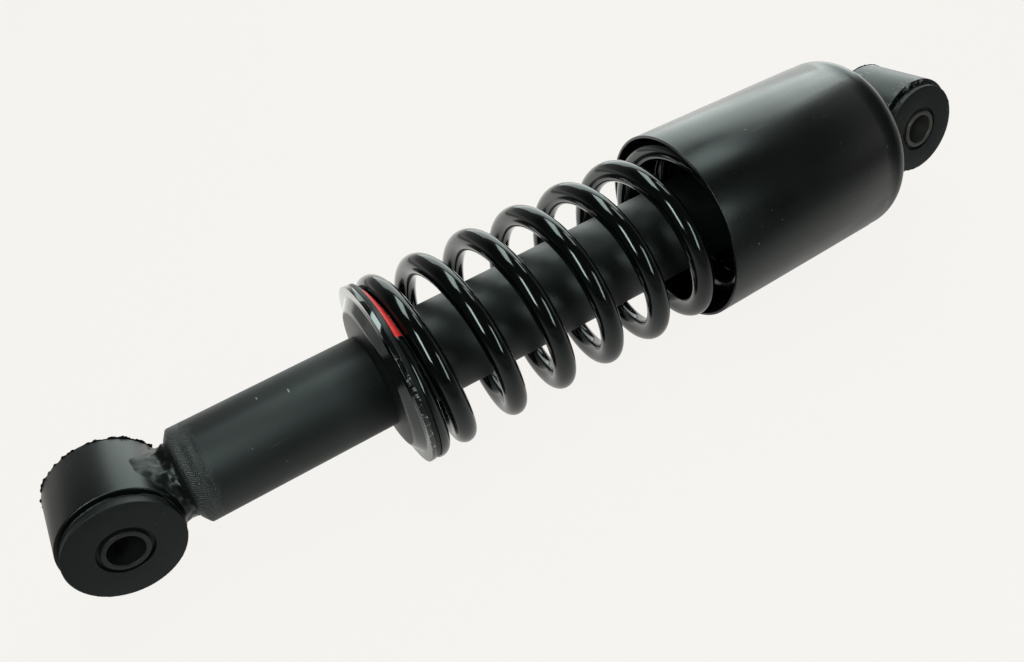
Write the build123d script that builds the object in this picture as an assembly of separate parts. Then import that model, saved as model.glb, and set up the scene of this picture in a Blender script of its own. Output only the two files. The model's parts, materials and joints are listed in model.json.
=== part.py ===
from build123d import *
from math import cos, pi, radians, sin, sqrt
import os

# Cab shock absorber: a twin-tube damper inside a coil spring, with a rubber-bushed eye at each end.
# Millimetres. X runs along the damper from the lower eye to the upper eye, the lower eye's bolt hole
# runs along Y, and the origin is the middle of that hole. The damper is drawn fully extended.

# Eyes: the lower ring sits a little behind the middle of its bush, the upper ring in the middle
eye_bore = 47.0
eye_wall = 4.0
eye_edge = 0.8
lower_eye_width = 37.0
lower_eye_shift = 1.0
upper_eye_width = 40.0
upper_eye_shift = 0.0
upper_eye_turn = -5.5
bolt_bore = 16.2
sleeve_wall = 2.4
sleeve_length = 51.0
sleeve_edge = 0.4
bush_recess = 0.5
lower_bush_step = 1.8
lower_back_flange = 3.0
upper_bush_step = 2.7
upper_back_flange = 5.0
bush_flange_edge = 1.6
bush_groove_width = 2.2
bush_groove_depth = 1.8

# Reservoir tube and the forged cap that closes its lower end
tube_od = 48.0
tube_wall = 2.0
tube_length = 304.8
lower_neck = 7.7
closing_depth = 3.2
closing_width = 4.6
closing_bend = 1.6
crimp_bend = 1.8
cap_nose_step = 3.4
cap_skirt_wall = 3.5
cap_skirt_depth = 4.0
cap_floor = 5.0
cap_corner = 1.5
lower_weld_lap = 0.3
lower_weld_waist = 0.6

# Lower spring seat, a pressed dish welded to the tube
seat_place = 136.4
seat_sheet = 2.5
seat_margin = 0.5
seat_flange = 5.5
seat_step = 5.5
seat_depth = 5.5
seat_base_rise = 1.6
seat_bends = [6.0, 2.0]
seat_weld_leg = 3.5

# Coil spring with closed and ground ends, and the ring that each end stands on
wire = 11.5
spring_od = 97.0
spring_inset = 32.8
spring_turns = 8.72
spring_start_angle = 75.0
closed_turns = 0.92
rising_turns = 0.55
closed_gap = 0.25
tip_sink = 3.4
points_per_turn = 12
isolator = 2.5
isolator_lap = 0.6

# Shroud, a drawn can that tapers towards its closed end, and the seat inside it
shroud_clearance = 3.1
shroud_taper = 0.022
shroud_wall = 1.6
shroud_length = 126.5
shroud_shoulder = 12.0
upper_neck = 5.3
upper_seat_sheet = 2.5
upper_seat_gap = 3.5
upper_seat_rim = 8.0
upper_seat_bend = 3.0
upper_weld_leg = 2.5
boss_wall = 8.0
upper_weld_width = 3.0

# Bump stop on the rod, under the closed end
stroke = 65.0
bump_clearance = 1.0
bump_height = 30.1
bump_cup_sheet = 2.0
bump_cup_rim = 6.0
bump_od = 36.0
bump_waist_od = 28.0
bump_waist = 6.0
bump_nose_od = 30.0
bump_edge = 2.5

# Piston rod, guide and seal
rod_od = 14.0
rod_fit = 0.05
retainer = 3.0
retainer_gap = 0.6
crimp_lip = 5.0
guide_height = 12.0
guide_spigot = 8.0
guide_bush_wall = 2.0
guide_bush_length = 12.0
seal_section = 7.0
seal_height = 6.0
seal_lip = 1.6
seal_lip_slope = 0.8

# Working cylinder and piston
cylinder_bore = 30.0
cylinder_wall = 1.5
piston_fit = 0.05
piston_height = 16.0
piston_drop = 19.0
piston_waist_gap = 0.4
band_height = 7.0
band_depth = 1.6
piston_pin_od = 10.0
disc_lap = 0.7
disc_pack = 2.4
disc_count = 3
disc_step = 1.6
port_od = 2.6
port_count = 6
port_circle = 19.0
nut_across_flats = 17.0
nut_height = 8.0
nut_stub = 2.0
stop_gap = 0.3
stop_height = 8.0
stop_od = 24.0
stop_collar = 3.0
stop_collar_od = 21.0

# Foot valve
foot_flange = 6.0
foot_flange_gap = 0.1
foot_spigot = 6.0
foot_slot = 6.0
foot_slot_depth = 2.5
foot_rivet_od = 5.0
foot_rivet_head_od = 9.0
foot_rivet_head = 2.0

# Sizes that mate with others, worked out from the sizes above
eye_r = eye_bore / 2 + eye_wall
sleeve_r = bolt_bore / 2 + sleeve_wall
bush_side = sleeve_length / 2 - bush_recess
tube_r = tube_od / 2
tube_inner = tube_r - tube_wall
tube_start = eye_r + lower_neck
tube_end = tube_start + tube_length
closing_start = tube_start - closing_depth
closing_r = tube_r - closing_width
cap_nose_r = closing_r - cap_nose_step
crimp_r = tube_inner - crimp_lip
cap_top = tube_start + cap_floor
seat_r = spring_od / 2 - seat_margin
seat_neck_r = seat_r - seat_flange
seat_base_r = seat_neck_r - seat_step
seat_slope = seat_base_rise / (seat_base_r - tube_r)
bump_top = tube_end + stroke + bump_clearance + bump_height
shroud_end = bump_top + bump_cup_sheet + shroud_wall
shroud_mouth = shroud_end - shroud_length
shroud_mouth_r = spring_od / 2 + shroud_clearance + shroud_wall
eye_to_eye = shroud_end + upper_neck + eye_r
spring_start = seat_place + seat_sheet + isolator
spring_end = shroud_mouth + spring_inset
spring_length = spring_end - spring_start
upper_seat_place = spring_end + isolator
upper_seat_bore_r = tube_r + upper_seat_gap
guide_top = tube_end - tube_wall - retainer
cylinder_end = guide_top - guide_height
guide_foot = cylinder_end - guide_spigot
rod_r = rod_od / 2
boss_r = rod_r + boss_wall
guide_bush_r = rod_r + guide_bush_wall
seal_r = rod_r + seal_section
cylinder_r = cylinder_bore / 2
piston_waist_r = cylinder_r - piston_waist_gap
disc_r = (port_circle + port_od) / 2 + disc_lap
cylinder_start = cap_top + foot_flange
rod_shoulder = guide_foot - piston_drop
piston_top = rod_shoulder - disc_pack
piston_foot = piston_top - piston_height
nut_top = piston_foot - disc_pack
rod_end = nut_top - nut_height - nut_stub


def turned(outline, rounds=None):
    """A solid turned about the X axis from (x, radius) points; rounds gives {point: fillet radius}."""
    section = make_face(Polyline(*outline, close=True))
    for point, size in (rounds or {}).items():
        corner = section.vertices().sort_by_distance(Vector(*outline[point], 0))[0]
        section = fillet(corner, size)
    return revolve(section, Axis.X)


def pressed(path, bends, sheet):
    """A pressed sheet turned about the X axis, with the sheet on the right of its (x, radius) path."""
    line = FilletPolyline(*path, radius=bends)
    return revolve(make_face(offset(line, amount=sheet, side=Side.RIGHT)), Axis.X)


def sleeve(start, end, inner, outer):
    """A plain ring about the X axis, given by its two ends and two radii."""
    return turned([(start, inner), (start, outer), (end, outer), (end, inner)])


def disc_of_holes(start, end, circle, hole, count):
    """Holes through a disc, evenly spaced on a circle about the X axis."""
    length = end - start
    drill = Rot(0, 90, 0) * Cylinder(hole / 2, length)
    middle = (start + end) / 2
    return [Rot(i * 360 / count, 0, 0) * Pos(middle, circle / 2, 0) * drill for i in range(count)]


# The eyes

def at_eye(piece, place, turn):
    """Stands a piece that was turned about X on an eye's bolt axis."""
    return Pos(place, 0, 0) * Rot(turn, 0, 0) * Rot(0, 0, 90) * piece


def eye_blank(place, turn):
    """The outside of an eye ring, wider than the ring, to shape what is welded to it."""
    return at_eye(Rot(0, 90, 0) * Cylinder(eye_r, 2 * sleeve_length), place, turn)


def eye_ring(width, shift):
    front = shift - width / 2
    back = shift + width / 2
    outline = [(front, eye_bore / 2), (front, eye_r), (back, eye_r), (back, eye_bore / 2)]
    return turned(outline, {1: eye_edge, 2: eye_edge})


def bush_rubber(width, shift, step, back_flange):
    """Rubber bush with a flange over each end of the ring and a groove round the steel sleeve."""
    inner = sleeve_r + rod_fit
    groove = sleeve_r + bush_groove_width
    flange = eye_r - step
    ring_front = shift - width / 2
    ring_back = shift + width / 2
    back = ring_back + back_flange
    front_floor = bush_groove_depth - bush_side
    back_floor = back - bush_groove_depth
    outline = [
        (-bush_side, groove), (-bush_side, flange), (ring_front, flange), (ring_front, eye_bore / 2),
        (ring_back, eye_bore / 2), (ring_back, flange), (back, flange), (back, groove),
        (back_floor, groove), (back_floor, inner), (front_floor, inner), (front_floor, groove),
    ]
    return turned(outline, {1: bush_flange_edge, 6: bush_flange_edge})


def bush_sleeve():
    end = sleeve_length / 2
    outline = [(-end, bolt_bore / 2), (-end, sleeve_r), (end, sleeve_r), (end, bolt_bore / 2)]
    return turned(outline, {0: sleeve_edge, 1: sleeve_edge, 2: sleeve_edge, 3: sleeve_edge})


def lower_eye_weld():
    """Weld bead between the ring, the cap's nose and the rolled end of the tube."""
    foot = closing_r + lower_weld_lap
    waist = closing_r - lower_weld_waist
    outline = [
        (0, cap_nose_r), (0, foot), (eye_r - lower_neck / 2, waist),
        (closing_start, closing_r), closing_lip(), (closing_start, cap_nose_r),
    ]
    return keep_right(turned(outline) - eye_blank(0, 0))


def upper_eye_boss():
    """Boss on the rod between the shroud's closed end and the ring."""
    boss = sleeve(shroud_end, eye_to_eye, rod_r, boss_r)
    return keep_left(boss - eye_blank(eye_to_eye, upper_eye_turn))


def upper_eye_weld():
    weld = sleeve(shroud_end, eye_to_eye, boss_r, boss_r + upper_weld_width)
    return keep_left(weld - eye_blank(eye_to_eye, upper_eye_turn))


def keep_right(piece):
    return piece.solids().sort_by(Axis.X)[-1]


def keep_left(piece):
    return piece.solids().sort_by(Axis.X)[0]


# The reservoir tube

def closing_lip():
    """The inner edge of the tube's rolled lower end, square to the slope of its outside."""
    slope = sqrt(closing_depth ** 2 + closing_width ** 2)
    return (closing_start + tube_wall * closing_width / slope, closing_r - tube_wall * closing_depth / slope)


def closing_corner():
    """Where the sloping inside of the rolled end meets the tube's bore."""
    lip_x, lip_r = closing_lip()
    return (lip_x + (tube_inner - lip_r) * closing_depth / closing_width, tube_inner)


def reservoir_tube():
    """Tube rolled in at its lower end and crimped over the seal retainer at its upper end."""
    outline = [
        (closing_start, closing_r), (tube_start, tube_r), (tube_end, tube_r), (tube_end, crimp_r),
        (tube_end - tube_wall, crimp_r), (tube_end - tube_wall, tube_inner),
        closing_corner(), closing_lip(),
    ]
    return turned(outline, {1: closing_bend, 2: crimp_bend})


def base_cap():
    """Forged cap inside the tube's lower end; its nose is shaped to the eye ring."""
    skirt = tube_inner - cap_skirt_wall
    rim = cap_top + cap_skirt_depth
    outline = [
        (0, 0), (0, cap_nose_r), (closing_start, cap_nose_r), closing_lip(), closing_corner(),
        (rim, tube_inner), (rim, skirt), (cap_top, skirt), (cap_top, 0),
    ]
    return keep_right(turned(outline, {7: cap_corner}) - eye_blank(0, 0))


# The spring and its seats

def lower_spring_seat():
    """Dish with a slightly conical base, a step and a flat flange under the spring."""
    base = seat_place - seat_depth
    rise = base + seat_base_rise
    path = [(base, tube_r), (rise, seat_base_r), (seat_place, seat_neck_r), (seat_place, seat_r)]
    tube = Pos(base, 0, 0) * Rot(0, 90, 0) * Cylinder(tube_r, seat_r)
    return pressed(path, seat_bends, seat_sheet) - tube


def lower_seat_weld():
    """Fillet weld between the tube and the conical base of the seat."""
    face = seat_place - seat_depth + seat_sheet * sqrt(1 + seat_slope ** 2)
    foot = (face + seat_weld_leg * seat_slope, tube_r + seat_weld_leg)
    return turned([(face, tube_r), foot, (face + seat_weld_leg, tube_r)])


def isolator_ring(start):
    """Flat rubber ring under one end of the spring, as wide as the wire."""
    inner = spring_od / 2 - wire - isolator_lap
    return sleeve(start, start + isolator, inner, seat_r)


def ease(share):
    """Rises from 0 to 1 with no sudden change of slope or bend."""
    share = max(0.0, min(1.0, share))
    return share ** 3 * (share * (6 * share - 15) + 10)


def openness(turn):
    """0 where the coils are closed and 1 where they stand apart, for a place counted in turns."""
    from_end = min(turn, spring_turns - turn)
    return ease((from_end - closed_turns) / rising_turns)


def coil_spring():
    """Right-hand spring: closed at both ends, open between, each end ground flat."""
    mean_r = (spring_od - wire) / 2
    steps = round(spring_turns * points_per_turn)
    step = spring_turns / steps
    share = [openness((i + 0.5) * step) for i in range(steps)]
    closed_pitch = wire + closed_gap
    closed_length = closed_pitch * step * sum(1 - s for s in share)
    open_pitch = (spring_length + 2 * tip_sink - closed_length) / (step * sum(share))
    place = spring_start - tip_sink
    points = []
    for i in range(steps + 1):
        angle = radians(spring_start_angle) + 2 * pi * i * step
        points.append((place, mean_r * cos(angle), mean_r * sin(angle)))
        if i < steps:
            place += step * (closed_pitch * (1 - share[i]) + open_pitch * share[i])
    path = Spline(*points)
    section = Plane(origin=path @ 0, z_dir=path % 0) * Circle(wire / 2)
    coil = sweep(section, path=path, is_frenet=True)
    block = 2 * spring_od
    lower_grind = Pos(spring_start - block / 2, 0, 0) * Box(block, block, block)
    upper_grind = Pos(spring_end + block / 2, 0, 0) * Box(block, block, block)
    return coil - lower_grind - upper_grind


def upper_spring_seat():
    """Pressed ring in the shroud, its outer rim against the wall and its lip clear of the tube."""
    back = upper_seat_place + upper_seat_rim
    path = [
        (back, upper_seat_bore_r), (upper_seat_place, upper_seat_bore_r),
        (upper_seat_place, shroud_inner(upper_seat_place)), (back, shroud_inner(back)),
    ]
    return pressed(path, upper_seat_bend, upper_seat_sheet)


def upper_seat_weld():
    face = upper_seat_place + upper_seat_rim
    tip = face + upper_weld_leg
    foot = (face, shroud_inner(face) - upper_weld_leg)
    return turned([foot, (face, shroud_inner(face)), (tip, shroud_inner(tip))])


# The shroud and the bump stop

def shroud_outer(place):
    return shroud_mouth_r - shroud_taper * (place - shroud_mouth)


def shroud_inner(place):
    return shroud_outer(place) - shroud_wall * sqrt(1 + shroud_taper ** 2)


def shroud():
    corner = (shroud_end, shroud_outer(shroud_end))
    path = [(shroud_mouth, shroud_mouth_r), corner, (shroud_end, rod_r)]
    return pressed(path, shroud_shoulder, shroud_wall)


def bump_stop_cup():
    face = bump_top + bump_cup_sheet
    rim = bump_top - bump_cup_rim
    outer = bump_od / 2 + bump_cup_sheet
    outline = [
        (face, rod_r), (face, outer), (rim, outer), (rim, bump_od / 2),
        (bump_top, bump_od / 2), (bump_top, rod_r),
    ]
    return turned(outline, {1: bump_cup_sheet})


def bump_stop():
    """Foam bump stop on the rod, with a waist that lets it fold up."""
    tip = bump_top - bump_height
    middle = (bump_top - bump_cup_rim + tip) / 2
    outline = [
        (tip, rod_r), (tip, bump_nose_od / 2), (middle - bump_waist, bump_nose_od / 2),
        (middle, bump_waist_od / 2), (middle + bump_waist, bump_od / 2), (bump_top, bump_od / 2), (bump_top, rod_r),
    ]
    return turned(outline, {1: bump_edge, 2: bump_edge / 2, 3: bump_edge / 2})


# Rod, guide and seal

def piston_rod():
    """Ground rod, with a thinner pin for the piston below its shoulder."""
    pin = piston_pin_od / 2
    outline = [
        (rod_end, 0), (rod_end, pin), (rod_shoulder, pin), (rod_shoulder, rod_r),
        (eye_to_eye, rod_r), (eye_to_eye, 0),
    ]
    return keep_left(turned(outline) - eye_blank(eye_to_eye, upper_eye_turn))


def seal_retainer():
    return sleeve(guide_top, guide_top + retainer, rod_r + retainer_gap, tube_inner)


def rod_guide():
    """Guide in the tube's upper end: it centres the working cylinder and holds the seal and the bush."""
    bush_top = guide_foot + guide_bush_length
    seal_floor = guide_top - seal_height
    outline = [
        (guide_foot, guide_bush_r), (guide_foot, cylinder_r), (cylinder_end, cylinder_r),
        (cylinder_end, tube_inner), (guide_top, tube_inner), (guide_top, seal_r), (seal_floor, seal_r),
        (seal_floor, rod_r + retainer_gap), (bush_top, rod_r + retainer_gap), (bush_top, guide_bush_r),
    ]
    return turned(outline)


def rod_guide_bush():
    return sleeve(guide_foot, guide_foot + guide_bush_length, rod_r + rod_fit, guide_bush_r)


def rod_seal():
    """Rubber seal with a sealing lip at each end of its bore."""
    floor = guide_top - seal_height
    lip = rod_r + rod_fit
    bore = lip + seal_lip
    outline = [
        (floor, lip), (floor, seal_r), (guide_top, seal_r), (guide_top, lip),
        (guide_top - seal_lip, lip), (guide_top - seal_lip - seal_lip_slope, bore),
        (floor + seal_lip + seal_lip_slope, bore), (floor + seal_lip, lip),
    ]
    return turned(outline)


# Working cylinder and piston

def pressure_tube():
    return sleeve(cylinder_start, cylinder_end, cylinder_r, cylinder_r + cylinder_wall)


def piston():
    """Piston with a groove for its band and ports through it, on the rod's pin."""
    side = piston_waist_r
    band_foot, band_top = band_places()
    groove = side - band_depth
    outline = [
        (piston_foot, piston_pin_od / 2), (piston_foot, side), (band_foot, side), (band_foot, groove),
        (band_top, groove), (band_top, side), (piston_top, side), (piston_top, piston_pin_od / 2),
    ]
    ports = disc_of_holes(piston_foot, piston_top, port_circle, port_od, port_count)
    return turned(outline) - ports


def band_places():
    middle = (piston_foot + piston_top) / 2
    return middle - band_height / 2, middle + band_height / 2


def piston_band():
    band_foot, band_top = band_places()
    return sleeve(band_foot, band_top, piston_waist_r - band_depth, cylinder_r - piston_fit)


def valve_discs(face, bore, away):
    """A pack of ever smaller spring discs over the ports in a face, stacked towards away, 1 or -1."""
    step = away * disc_pack / disc_count
    discs = [
        sleeve(face + i * step, face + (i + 1) * step, bore / 2, disc_r - i * disc_step)
        for i in range(disc_count)
    ]
    return discs[0] + discs[1:]


def piston_nut():
    bore = Rot(0, 90, 0) * Cylinder(piston_pin_od / 2, nut_height)
    section = RegularPolygon(nut_across_flats / 2, 6, major_radius=False)
    body = extrude(Plane.YZ * section, nut_height / 2, both=True)
    return Pos(nut_top - nut_height / 2, 0, 0) * (body - bore)


def rebound_stop():
    top = guide_foot - stop_gap
    outline = [(top - stop_height, rod_r), (top - stop_height, stop_od / 2), (top, stop_od / 2), (top, rod_r)]
    return turned(outline, {1: bump_edge / 2, 2: bump_edge / 2})


def rebound_collar():
    top = guide_foot - stop_gap - stop_height
    return sleeve(top - stop_collar, top, rod_r, stop_collar_od / 2)


# Foot valve

def foot_valve_body():
    """Valve body on the cap's floor, with crossed slots that let the oil in under it."""
    pin = foot_rivet_od / 2
    flange = tube_inner - cap_skirt_wall - foot_flange_gap
    outline = [
        (cap_top, pin), (cap_top, flange), (cylinder_start, flange), (cylinder_start, cylinder_r),
        (cylinder_start + foot_spigot, cylinder_r), (cylinder_start + foot_spigot, pin),
    ]
    slot = Pos(cap_top + foot_slot_depth / 2, 0, 0) * Box(foot_slot_depth, tube_od, foot_slot)
    cross = Pos(cap_top + foot_slot_depth / 2, 0, 0) * Box(foot_slot_depth, foot_slot, tube_od)
    ports = disc_of_holes(cap_top, cylinder_start + foot_spigot, port_circle, port_od, port_count)
    return turned(outline, {1: cap_corner}) - slot - cross - ports


def foot_valve_discs():
    return valve_discs(cylinder_start + foot_spigot, foot_rivet_od, 1)


def foot_valve_rivet():
    head = foot_rivet_head_od / 2
    pin = foot_rivet_od / 2
    top = cylinder_start + foot_spigot + disc_pack
    outline = [
        (cap_top + foot_slot_depth / 2, 0), (cap_top + foot_slot_depth / 2, pin), (top, pin), (top, head),
        (top + foot_rivet_head, head), (top + foot_rivet_head, 0),
    ]
    return turned(outline, {4: foot_rivet_head / 2})


upper = (eye_to_eye, upper_eye_turn)
lower_ring = (lower_eye_width, lower_eye_shift)
upper_ring = (upper_eye_width, upper_eye_shift)
nodes = {
    "lower_eye_ring": at_eye(eye_ring(*lower_ring), 0, 0),
    "lower_bush_rubber": at_eye(bush_rubber(*lower_ring, lower_bush_step, lower_back_flange), 0, 0),
    "lower_bush_sleeve": at_eye(bush_sleeve(), 0, 0),
    "lower_eye_weld": lower_eye_weld(),
    "base_cap": base_cap(),
    "reservoir_tube": reservoir_tube(),
    "lower_spring_seat": lower_spring_seat(),
    "lower_seat_weld": lower_seat_weld(),
    "lower_isolator": isolator_ring(seat_place + seat_sheet),
    "coil_spring": coil_spring(),
    "upper_isolator": isolator_ring(spring_end),
    "upper_spring_seat": upper_spring_seat(),
    "upper_seat_weld": upper_seat_weld(),
    "shroud": shroud(),
    "bump_stop_cup": bump_stop_cup(),
    "bump_stop": bump_stop(),
    "upper_eye_boss": upper_eye_boss(),
    "upper_eye_weld": upper_eye_weld(),
    "upper_eye_ring": at_eye(eye_ring(*upper_ring), *upper),
    "upper_bush_rubber": at_eye(bush_rubber(*upper_ring, upper_bush_step, upper_back_flange), *upper),
    "upper_bush_sleeve": at_eye(bush_sleeve(), *upper),
    "piston_rod": piston_rod(),
    "seal_retainer": seal_retainer(),
    "rod_seal": rod_seal(),
    "rod_guide": rod_guide(),
    "rod_guide_bush": rod_guide_bush(),
    "pressure_tube": pressure_tube(),
    "rebound_stop": rebound_stop(),
    "rebound_collar": rebound_collar(),
    "rebound_valve_discs": valve_discs(piston_foot, piston_pin_od, -1),
    "piston": piston(),
    "piston_band": piston_band(),
    "compression_valve_discs": valve_discs(piston_top, piston_pin_od, 1),
    "piston_nut": piston_nut(),
    "foot_valve_body": foot_valve_body(),
    "foot_valve_discs": foot_valve_discs(),
    "foot_valve_rivet": foot_valve_rivet(),
}

os.makedirs("parts", exist_ok=True)
for name, piece in nodes.items():
    export_step(piece, f"parts/{name}.step")
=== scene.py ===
import bpy
import bmesh
import json
from collections import namedtuple
from math import cos, hypot, pi, radians, sin, sqrt, tan
from mathutils import Matrix, Vector, noise
from bpy.props import FloatProperty, FloatVectorProperty, IntProperty, PointerProperty
from bpy.types import NodeSocket, Operator, Panel, PropertyGroup


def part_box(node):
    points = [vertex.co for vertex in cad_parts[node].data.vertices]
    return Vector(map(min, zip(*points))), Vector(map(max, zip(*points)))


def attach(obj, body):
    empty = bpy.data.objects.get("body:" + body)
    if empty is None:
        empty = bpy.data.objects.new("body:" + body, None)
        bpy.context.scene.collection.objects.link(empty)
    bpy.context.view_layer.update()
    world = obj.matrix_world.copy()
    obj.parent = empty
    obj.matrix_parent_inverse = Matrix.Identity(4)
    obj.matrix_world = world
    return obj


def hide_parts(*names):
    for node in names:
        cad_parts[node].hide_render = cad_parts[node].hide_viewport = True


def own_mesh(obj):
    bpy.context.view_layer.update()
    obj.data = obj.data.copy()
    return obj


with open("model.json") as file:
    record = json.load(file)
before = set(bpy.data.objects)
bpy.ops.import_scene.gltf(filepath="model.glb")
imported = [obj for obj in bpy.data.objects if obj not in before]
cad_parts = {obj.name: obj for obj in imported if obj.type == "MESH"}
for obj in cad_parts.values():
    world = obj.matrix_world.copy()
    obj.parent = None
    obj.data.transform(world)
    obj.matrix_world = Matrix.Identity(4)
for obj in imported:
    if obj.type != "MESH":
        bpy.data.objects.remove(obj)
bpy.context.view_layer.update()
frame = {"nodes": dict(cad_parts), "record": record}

bl_info = {
    "name": "Cab Shock Absorber",
    "version": (1, 0, 0),
    "blender": (4, 5, 0),
    "location": "3D View > Sidebar > Cab Shock Absorber",
    "description": "Dresses a cab shock absorber: its eyes, tube, spring, shroud and the stage",
    "category": "Object",
}

MM = 0.001
LOWER_BODY = "damper_body"
UPPER_BODY = "upper_mount"


def hex_colour(code):
    """An sRGB hex value as the linear colour that a shader takes."""
    parts = [int(code[i:i + 2], 16) / 255 for i in (1, 3, 5)]
    return [p / 12.92 if p <= 0.04045 else ((p + 0.055) / 1.055) ** 2.4 for p in parts] + [1.0]


def low_x(node):
    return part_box(node)[0].x


def high_x(node):
    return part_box(node)[1].x


def half_along(node):
    low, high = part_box(node)
    return (high.x - low.x) / 2


def half_across(node):
    low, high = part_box(node)
    return (high.z - low.z) / 2


def length(description, default):
    return FloatProperty(description=description, default=default, unit="LENGTH", precision=5)


def number(description, default):
    return FloatProperty(description=description, default=default)


def turn_of(description, degrees):
    return FloatProperty(description=description, default=radians(degrees), subtype="ANGLE")


def colour(description, code):
    return FloatVectorProperty(
        description=description, subtype="COLOR", size=4, min=0, max=1, default=hex_colour(code))


# Sizes and colours

class EyeSizes(PropertyGroup):
    ring_radius: length("Outside radius of the steel ring", half_across("lower_eye_ring"))
    ring_wall: length("Thickness of the steel ring", 4 * MM)
    ring_edge: length("Rounding of the ring's turned edges", 0.7 * MM)
    lower_flange: length("Outside radius of the lower bush", half_along("lower_bush_rubber"))
    upper_flange: length("Outside radius of the upper bush", half_along("upper_bush_rubber"))
    lower_tail: length("Thickness of the flange behind the lower ring", 3 * MM)
    upper_tail: length("Thickness of the flange behind the upper ring", 5 * MM)
    flange_edge: length("Rounding of the flange's moulded edge", 0.5 * MM)
    lower_lip: length("How much wider the lower bush is at its face", 0.5 * MM)
    bush_end: length("From the eye's middle to the front of the bush", 25 * MM)
    lower_flash: length("How far torn flash stands out past the lower ring", 1.3 * MM)
    upper_flash: length("How far torn flash stands out round the upper bush", 1.4 * MM)
    lower_stub: length("How far trimmed flash stands out in front of the lower ring", 0.35 * MM)
    upper_stub: length("How far trimmed flash stands out behind the upper ring", 0.4 * MM)
    sleeve_radius: length("Outside radius of the steel sleeve", half_across("lower_bush_sleeve"))
    bolt_radius: length("Radius of the hole for the bolt", 8.1 * MM)
    groove: length("Width of the groove in the rubber round the sleeve", 1.9 * MM)
    groove_depth: length("Depth of the groove round the sleeve", 1.8 * MM)
    front_fin: length("From the ring to the flash in front of it", 1.9 * MM)
    back_fin: length("From the ring to the flash behind it", 0.35 * MM)
    weld_lump: length("Height of the lumps in the weld bead", 1.5 * MM)
    upper_turn: turn_of("How far the upper eye is turned about the damper's axis", -5.5)


class TubeSizes(PropertyGroup):
    radius: length("Outside radius of the reservoir tube", half_across("reservoir_tube"))
    wall: length("Thickness of the tube's wall", 2 * MM)
    mouth: length("Radius of the hole that the crimped end leaves", 17 * MM)
    rolled_edge: length("Rounding where the tube is rolled in over its cap", 1.6 * MM)
    rolled_depth: length("Length of the rolled end", 3.2 * MM)
    rolled_width: length("How far the rolled end comes in", 4.6 * MM)
    band: length("Length of the band that the closing rollers marked", 13 * MM)
    mark_row: length("Length of one row of roller marks", 2.6 * MM)
    mark_spacing: length("From one roller mark to the next", 1.1 * MM)
    dent: length("How unevenly the rolled end was pressed", 0.22 * MM)


class SeatSizes(PropertyGroup):
    radius: length("Outside radius of the lower seat", half_across("lower_spring_seat"))
    sheet: length("Thickness of the pressed sheet", 2.5 * MM)
    depth: length("Depth of the dish behind its flange", 5.5 * MM)
    rise: length("How far the dish's conical base rises", 1.6 * MM)
    base: length("Radius of the dish's conical base", 37 * MM)
    neck: length("Radius where the flange starts", 42.5 * MM)
    base_bend: length("Outside bend where the wall leaves the base", 6 * MM)
    inner_bend: length("Inside bend where the wall leaves the base", 3.5 * MM)
    flange_bend: length("Outside bend where the flange starts", 2 * MM)
    edge: length("Rounding of the flange's trimmed edge", 0.2 * MM)
    pad_inner: length("Inside radius of the rubber ring on the flange", 36.4 * MM)
    pad_edge: length("Rounding of the rubber ring's edges", 0.3 * MM)


class SpringSizes(PropertyGroup):
    wire: length("Diameter of the wire with its coating", 11.5 * MM)
    outside: length("Outside diameter of the coils", 97 * MM)
    turns: number("Turns from tip to tip", 8.72)
    start_angle: turn_of("Where the lower tip lies", 75)
    closed: number("Turns that lie closed at each end", 0.92)
    rising: number("Turns over which the coils open", 0.55)
    gap: length("Gap between closed coils", 0.25 * MM)
    sink: length("How far the wire's middle starts inside the ground face", 3.4 * MM)
    steps: IntProperty(description="Cross-sections in one turn", default=72)
    sides: IntProperty(description="Corners of one cross-section", default=28)
    mark_end: turn_of("Where the paint mark on the first coil ends", 124)


class ShroudSizes(PropertyGroup):
    mouth: length("Outside radius at the open end", 53.2 * MM)
    taper: number("Radius lost for each unit of length", 0.022)
    wall: length("Thickness of the drawn sheet", 1.6 * MM)
    shoulder: length("Rounding of the closed end", 12 * MM)
    bore: length("Radius of the hole for the rod", 7 * MM)
    rim_edge: length("Rounding of the trimmed rim", 0.35 * MM)
    draw_place: length("From the shoulder to the step that the draw left", 7 * MM)
    draw_step: length("Height of the step that the draw left", 0.3 * MM)


class StageSizes(PropertyGroup):
    camera_place: FloatVectorProperty(
        description="Where the camera stands", subtype="TRANSLATION", size=3,
        default=(0.0658, -0.3468, 0.2981))
    lens: number("Focal length in millimetres", 32.741)
    shift: number("Height shift of the picture frame", 0.00098)
    floor_half: length("Half the width of the floor", 6.0)


class Colours(PropertyGroup):
    enamel: colour("Black chassis enamel", "#050606")
    tube_enamel: colour("The tube's duller enamel", "#0A0C0C")
    powder: colour("Gloss black powder coat of the spring", "#040505")
    mark: colour("Paint mark on the first coil", "#C9211F")
    rubber: colour("Moulded natural rubber", "#0C0E0F")
    sleeve: colour("Phosphated steel of the sleeves", "#1B1D1E")
    stage: colour("Floor and backdrop", "#F6F4F0")


class Shock(PropertyGroup):
    eye: PointerProperty(type=EyeSizes)
    tube: PointerProperty(type=TubeSizes)
    seat: PointerProperty(type=SeatSizes)
    spring: PointerProperty(type=SpringSizes)
    shroud: PointerProperty(type=ShroudSizes)
    stage: PointerProperty(type=StageSizes)
    colours: PointerProperty(type=Colours)


# Materials

def feed(node, inputs):
    """Gives each named input of a node its link or its constant."""
    for name, value in inputs.items():
        if isinstance(value, NodeSocket):
            node.id_data.links.new(value, node.inputs[name])
        else:
            node.inputs[name].default_value = value


def linked(node, name):
    """What is linked to an input so far."""
    return node.inputs[name].links[0].from_socket


def add(tree, kind, inputs=None, **settings):
    made = tree.nodes.new(kind)
    for name, value in settings.items():
        setattr(made, name, value)
    feed(made, inputs or {})
    return made


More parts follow.
